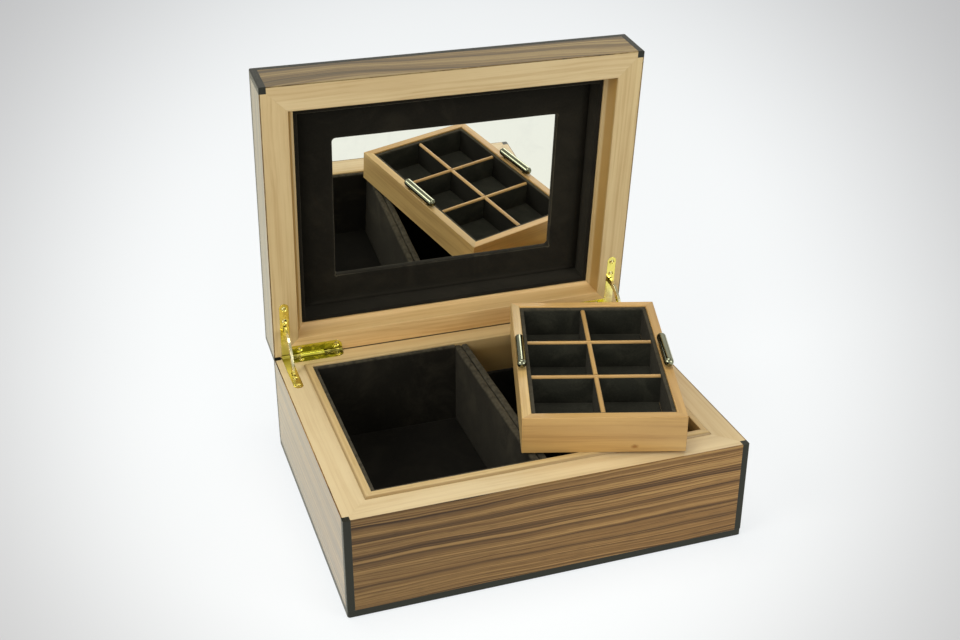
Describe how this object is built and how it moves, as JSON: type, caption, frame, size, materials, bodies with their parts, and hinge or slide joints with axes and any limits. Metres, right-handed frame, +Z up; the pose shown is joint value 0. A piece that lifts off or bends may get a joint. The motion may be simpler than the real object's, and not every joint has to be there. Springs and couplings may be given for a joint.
{
  "type": "cufflink display box",
  "caption": "Veneered wooden jewellery box with a hinged mirror lid on quadrant stays, suede-lined compartments and a lift-out tray of cells for cufflinks.",
  "frame": {"origin": "centre of the base's underside, where it rests", "axes": "+X to the right across the front, -Y towards the front, +Z up; the lid is hinged along the back and stored open"},
  "size_m": [0.2844, 0.2529, 0.2952],
  "materials": {
    "pale_wood": "satin lacquer",
    "lip_wood": "satin lacquer",
    "veneer": "striped veneer, gloss lacquer",
    "black_edging": "dyed black, gloss lacquer",
    "suede": "dark suede",
    "felt": "felt",
    "brass": "polished",
    "brass_screw": "polished",
    "gunmetal": "polished gunmetal",
    "mirror": "silvered",
    "tray_wood": "satin lacquer",
    "panel_wood": "plain"
  },
  "bodies": {
    "base": {"base_wall_front": "pale_wood", "base_wall_back": "pale_wood", "base_wall_left": "pale_wood", "base_wall_right": "pale_wood", "base_veneer_front": "veneer", "base_veneer_back": "veneer", "base_veneer_left": "veneer", "base_veneer_right": "veneer", "base_lip_front": "lip_wood", "base_lip_back": "lip_wood", "base_lip_left": "lip_wood", "base_lip_right": "lip_wood", "base_corner_edging": "black_edging", "base_foot_edging": "black_edging", "base_floor_panel": "panel_wood", "base_felt": "felt", "left_lining": "suede", "left_floor_pad": "suede", "right_lining": "suede", "right_floor_pad": "suede", "divider_board_left": "suede", "divider_board_right": "suede", "hinge_base_leaf_left": "brass", "hinge_base_leaf_right": "brass", "hinge_pins": "brass", "hinge_base_screws": "brass_screw"},
    "stay_left": {"stay_left": "brass"},
    "stay_right": {"stay_right": "brass"},
    "lid": {"lid_rail_front": "pale_wood", "lid_rail_back": "pale_wood", "lid_rail_left": "pale_wood", "lid_rail_right": "pale_wood", "lid_veneer_front": "veneer", "lid_veneer_back": "veneer", "lid_veneer_left": "veneer", "lid_veneer_right": "veneer", "lid_corner_edging": "black_edging", "lid_top_edging": "black_edging", "lid_panel": "panel_wood", "lid_top_veneer": "veneer", "lid_lining": "suede", "mirror_surround": "suede", "mirror_glass": "mirror", "hinge_lid_leaf_left": "brass", "hinge_lid_leaf_right": "brass", "hinge_lid_screws": "brass_screw"},
    "tray": {"tray_wall_front": "tray_wood", "tray_wall_back": "tray_wood", "tray_wall_left": "tray_wood", "tray_wall_right": "tray_wood", "tray_bottom": "panel_wood", "tray_lining": "suede", "tray_floor_pad": "suede", "tray_divider_long": "tray_wood", "tray_divider_cross_front": "tray_wood", "tray_divider_cross_back": "tray_wood", "tray_handle_left": "gunmetal", "tray_handle_right": "gunmetal"}
  },
  "joints": [
    {"name": "lid_hinge", "type": "hinge", "parent": "base", "child": "lid", "pos_m": [0, 0.1072, 0.0751], "axis": [1, 0, 0], "range_deg": [0, 84]},
    {"name": "stay_left_turn", "type": "hinge", "parent": "base", "child": "stay_left", "pos_m": [-0.1308, 0.1072, 0.0751], "axis": [1, 0, 0], "range_deg": [0, 42]},
    {"name": "stay_right_turn", "type": "hinge", "parent": "base", "child": "stay_right", "pos_m": [0.1308, 0.1072, 0.0751], "axis": [1, 0, 0], "range_deg": [0, 42]},
    {"name": "tray_slide", "type": "slide", "parent": "base", "child": "tray", "axis": [0, -1, 0], "range_m": [0, 0.25]}
  ],
  "couplings": [
    {"joint": "stay_left_turn", "follows": "lid_hinge", "ratio": 0.5},
    {"joint": "stay_right_turn", "follows": "lid_hinge", "ratio": 0.5},
    {"joint": "tray_slide", "follows": "lid_hinge", "m_per_rad": 0.1705}
  ]
}
